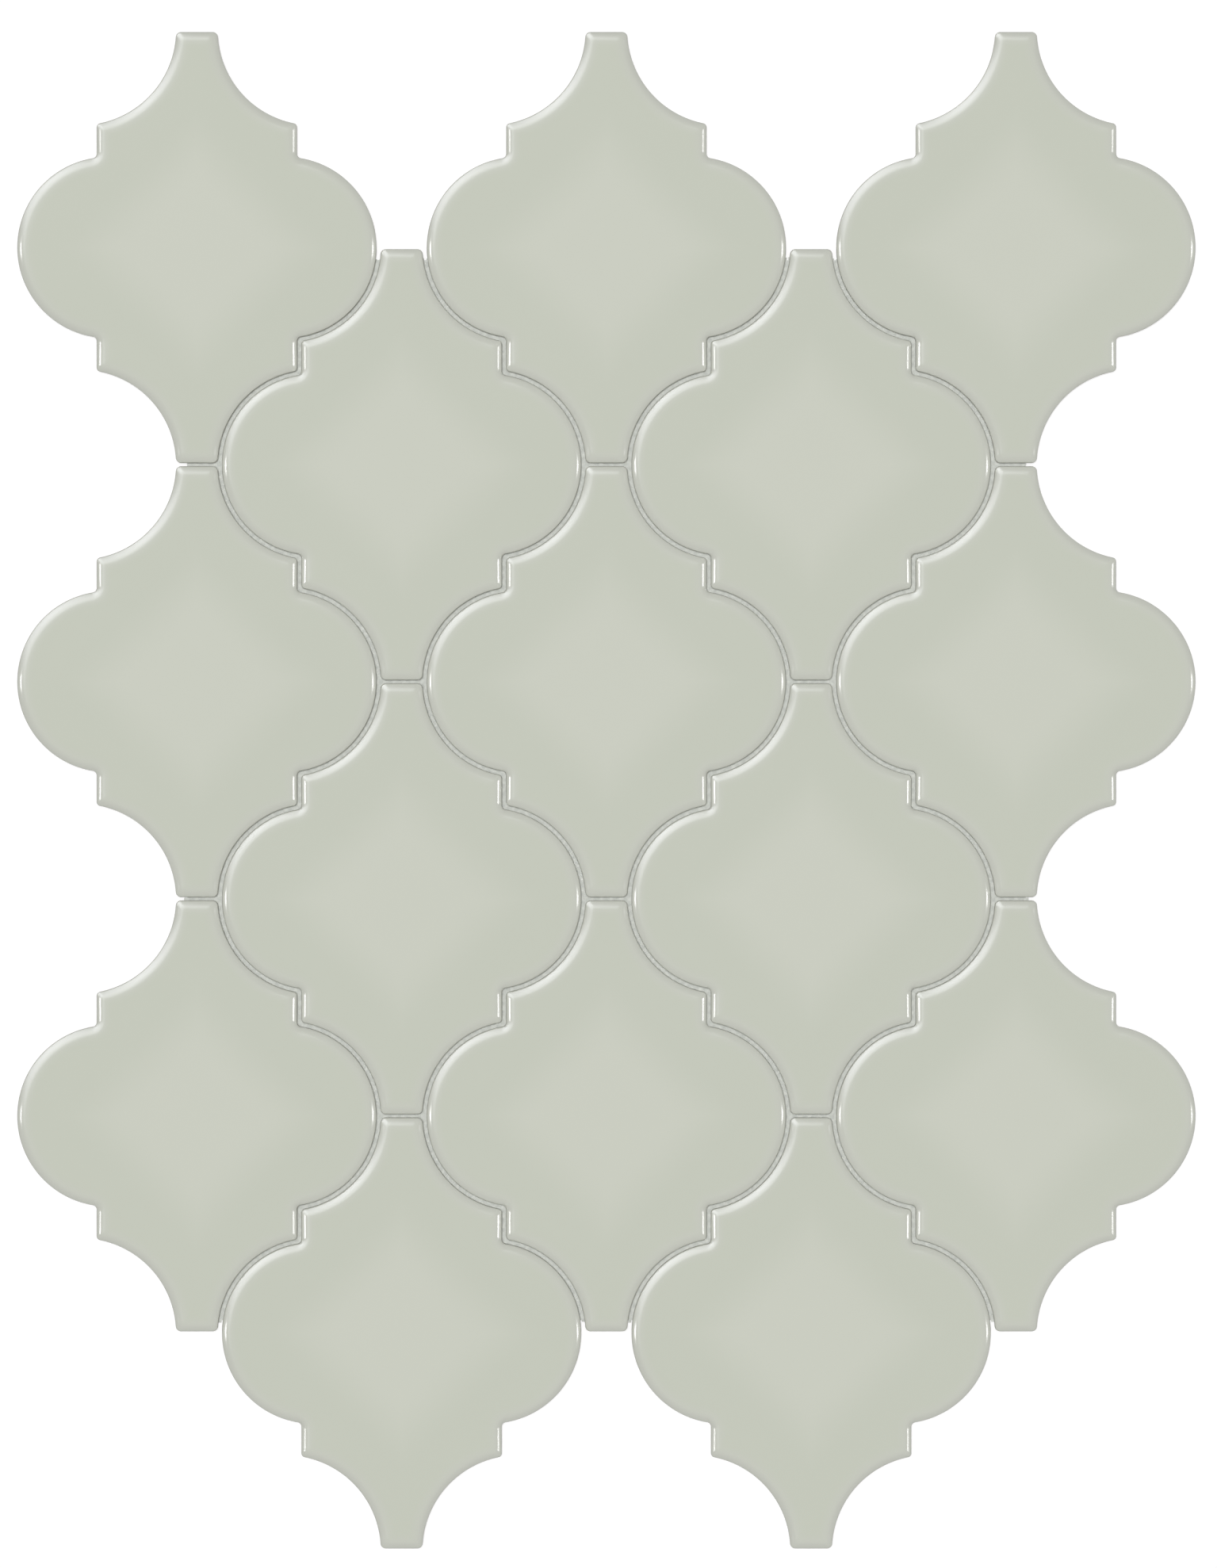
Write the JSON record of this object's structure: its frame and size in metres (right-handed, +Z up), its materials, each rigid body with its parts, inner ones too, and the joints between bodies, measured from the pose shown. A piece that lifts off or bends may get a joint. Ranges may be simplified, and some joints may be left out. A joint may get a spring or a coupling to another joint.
{
  "type": "moroccan arabesque mosaic tile sheet",
  "caption": "Flat sheet of interlocking glossy lantern-shaped wall tiles with cushioned edges, held at even joints by one woven cloth backing, ready to set in adhesive.",
  "frame": {"origin": "middle of the sheet, on the underside of the cloth backing", "axes": "+Z up out of the glazed faces, +Y along the sheet towards the end with more tips, +X across it"},
  "size_m": [0.25, 0.3216, 0.007],
  "materials": {
    "glaze": "glossy pale grey-green glaze on a white fired body",
    "cloth": "light grey woven glass-fibre cloth, stiffened with adhesive"
  },
  "bodies": {
    "root": {"tile_a1": "glaze", "tile_a2": "glaze", "tile_a3": "glaze", "tile_b1": "glaze", "tile_b2": "glaze", "tile_b3": "glaze", "tile_c1": "glaze", "tile_c2": "glaze", "tile_c3": "glaze", "tile_d1": "glaze", "tile_d2": "glaze", "tile_d3": "glaze", "tile_e1": "glaze", "tile_e2": "glaze", "tile_e3": "glaze", "mesh_backing": "cloth"}
  },
  "joints": []
}
